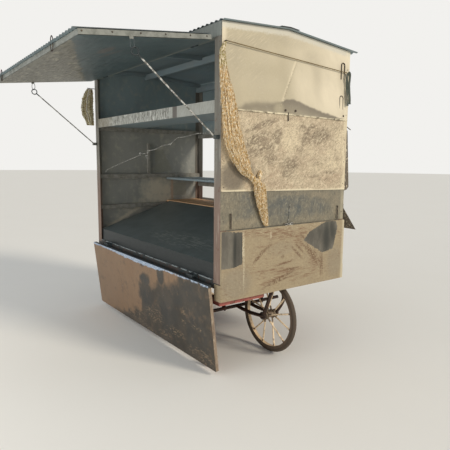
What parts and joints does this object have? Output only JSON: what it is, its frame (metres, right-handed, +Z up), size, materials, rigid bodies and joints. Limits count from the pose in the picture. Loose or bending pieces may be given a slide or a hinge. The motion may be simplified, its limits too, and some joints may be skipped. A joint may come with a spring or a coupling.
{
  "type": "hand cart",
  "caption": "Tall sheet-metal vending cabin on a red steel chassis with spoked wheels, raised awning on rod stays, hanging serving flap and net curtain.",
  "frame": {"origin": "on the ground below the middle of the overall box", "axes": "+X towards the closed near end with the single wheel, -Y towards the serving side, +Z up"},
  "size_m": [2.243, 2.3067, 2.381],
  "materials": {
    "roof": "weathered corrugated sheet",
    "red_steel": "faded red paint",
    "dark_steel": "dark oxidised steel",
    "post_steel": "grey paint over rust",
    "cream_paint": "dirty cream paint",
    "stained_sheet": "stained galvanised sheet",
    "galvanised": "dull galvanised sheet",
    "dusty_sheet": "dusty sheet",
    "inner_sheet": "dark shiny sheet",
    "wood": "old boards",
    "batten": "cream frame",
    "bright_steel": "worn bright steel",
    "rim": "cream paint with rust",
    "tyre": "dusty solid rubber",
    "net": "golden net",
    "rope": "twisted rope"
  },
  "bodies": {
    "cart": {"roof_serving": "roof", "roof_back": "roof", "ridge_cap": "roof", "chassis_frame": "red_steel", "front_fork": "dark_steel", "front_axle": "dark_steel", "rear_axle": "dark_steel", "rear_hangers": "dark_steel", "leg_bracket": "dark_steel", "deck_frame": "dark_steel", "end_flap_hinges": "dark_steel", "awning_hinges": "dark_steel", "flap_hinges": "dark_steel", "stay_bracket_near": "dark_steel", "stay_bracket_far": "dark_steel", "rope_hooks": "dark_steel", "end_fittings": "dark_steel", "post_near_serving": "post_steel", "post_near_back": "post_steel", "post_far_serving": "post_steel", "post_far_back": "post_steel", "plate_serving": "post_steel", "plate_back": "post_steel", "rafters": "post_steel", "end_girts": "post_steel", "back_girts": "post_steel", "end_upper": "cream_paint", "end_middle": "stained_sheet", "back_wall": "stained_sheet", "far_wall": "stained_sheet", "back_loose_sheet": "stained_sheet", "loft_fascia": "stained_sheet", "end_band": "galvanised", "corner_flange": "galvanised", "counter_slope": "inner_sheet", "upper_shelf": "inner_sheet", "loft_floor": "inner_sheet", "deck_boards": "wood", "plank_shelf": "wood", "shelf_uprights": "wood", "band_hooks": "bright_steel", "net_curtain": "net", "net_far": "net", "end_rope": "rope"},
    "front_wheel": {"wheel_front": "rim", "tyre_front": "tyre"},
    "rear_serving_wheel": {"wheel_rear_serving": "rim", "tyre_rear_serving": "tyre"},
    "rear_back_wheel": {"wheel_rear_back": "rim", "tyre_rear_back": "tyre"},
    "awning": {"awning_frame": "batten", "awning_tin": "inner_sheet", "awning_top_sheet": "inner_sheet"},
    "near_stay": {"stay_near": "bright_steel"},
    "far_stay": {"stay_far": "bright_steel"},
    "serving_flap": {"flap_frame": "batten", "flap_sheet": "inner_sheet"},
    "end_flap": {"end_flap": "dusty_sheet"},
    "prop_leg": {"prop_leg": "red_steel"}
  },
  "joints": [
    {"name": "front_wheel_spin", "type": "hinge", "parent": "cart", "child": "front_wheel", "pos_m": [0.8285, 0.37133, 0.293], "axis": [0, 1, 0], "continuous": true},
    {"name": "rear_serving_wheel_spin", "type": "hinge", "parent": "cart", "child": "rear_serving_wheel", "pos_m": [-0.5415, -0.07367, 0.293], "axis": [0, 1, 0], "continuous": true},
    {"name": "rear_back_wheel_spin", "type": "hinge", "parent": "cart", "child": "rear_back_wheel", "pos_m": [-0.5415, 0.81633, 0.293], "axis": [0, 1, 0], "continuous": true},
    {"name": "awning_close", "type": "hinge", "parent": "cart", "child": "awning", "pos_m": [-0.0415, -0.27267, 2.236], "axis": [1, 0, 0], "range_deg": [0, 83]},
    {"name": "near_stay_swing", "type": "hinge", "parent": "cart", "child": "near_stay", "pos_m": [0.9835, -0.26867, 1.627], "axis": [1, 0, 0], "range_deg": [0, 129]},
    {"name": "far_stay_swing", "type": "hinge", "parent": "cart", "child": "far_stay", "pos_m": [-1.0665, -0.26867, 1.627], "axis": [1, 0, 0], "range_deg": [0, 129]},
    {"name": "serving_flap_raise", "type": "hinge", "parent": "cart", "child": "serving_flap", "pos_m": [-0.0415, -0.28067, 0.672], "axis": [-1, 0, 0], "range_deg": [0, 186]},
    {"name": "end_flap_drop", "type": "hinge", "parent": "cart", "child": "end_flap", "pos_m": [1.01, 0.37133, 0.549], "axis": [0, 1, 0], "range_deg": [0, 90]},
    {"name": "prop_leg_fold", "type": "hinge", "parent": "cart", "child": "prop_leg", "pos_m": [0.7985, -0.17867, 0.469], "axis": [0, 1, 0], "range_deg": [0, 90]}
  ]
}
